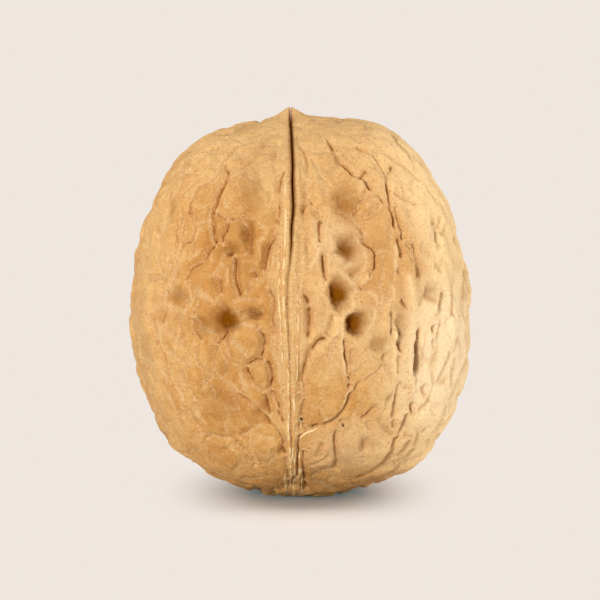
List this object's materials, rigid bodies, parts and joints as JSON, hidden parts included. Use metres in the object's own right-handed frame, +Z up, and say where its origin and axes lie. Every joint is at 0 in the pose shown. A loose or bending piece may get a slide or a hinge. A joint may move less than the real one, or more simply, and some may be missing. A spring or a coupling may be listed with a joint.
{
  "type": "walnut",
  "caption": "Whole walnut in its shell, standing on its blunt stem end, with a pointed tip, a raised seam that has opened a little at the top, and a wrinkled, hollowed surface.",
  "frame": {"origin": "on the seam plane, at the small flat spot of the stem end that the nut rests on", "axes": "+Z up through the pointed tip; +X across the seam, towards the fuller half; the seam lies in the YZ plane, and -Y is its front"},
  "size_m": [0.037, 0.037, 0.042],
  "materials": {
    "shell": "matt to satin dry walnut shell, tan with paler veins and browner hollows"
  },
  "bodies": {
    "root": {"walnut": "shell"}
  },
  "joints": []
}
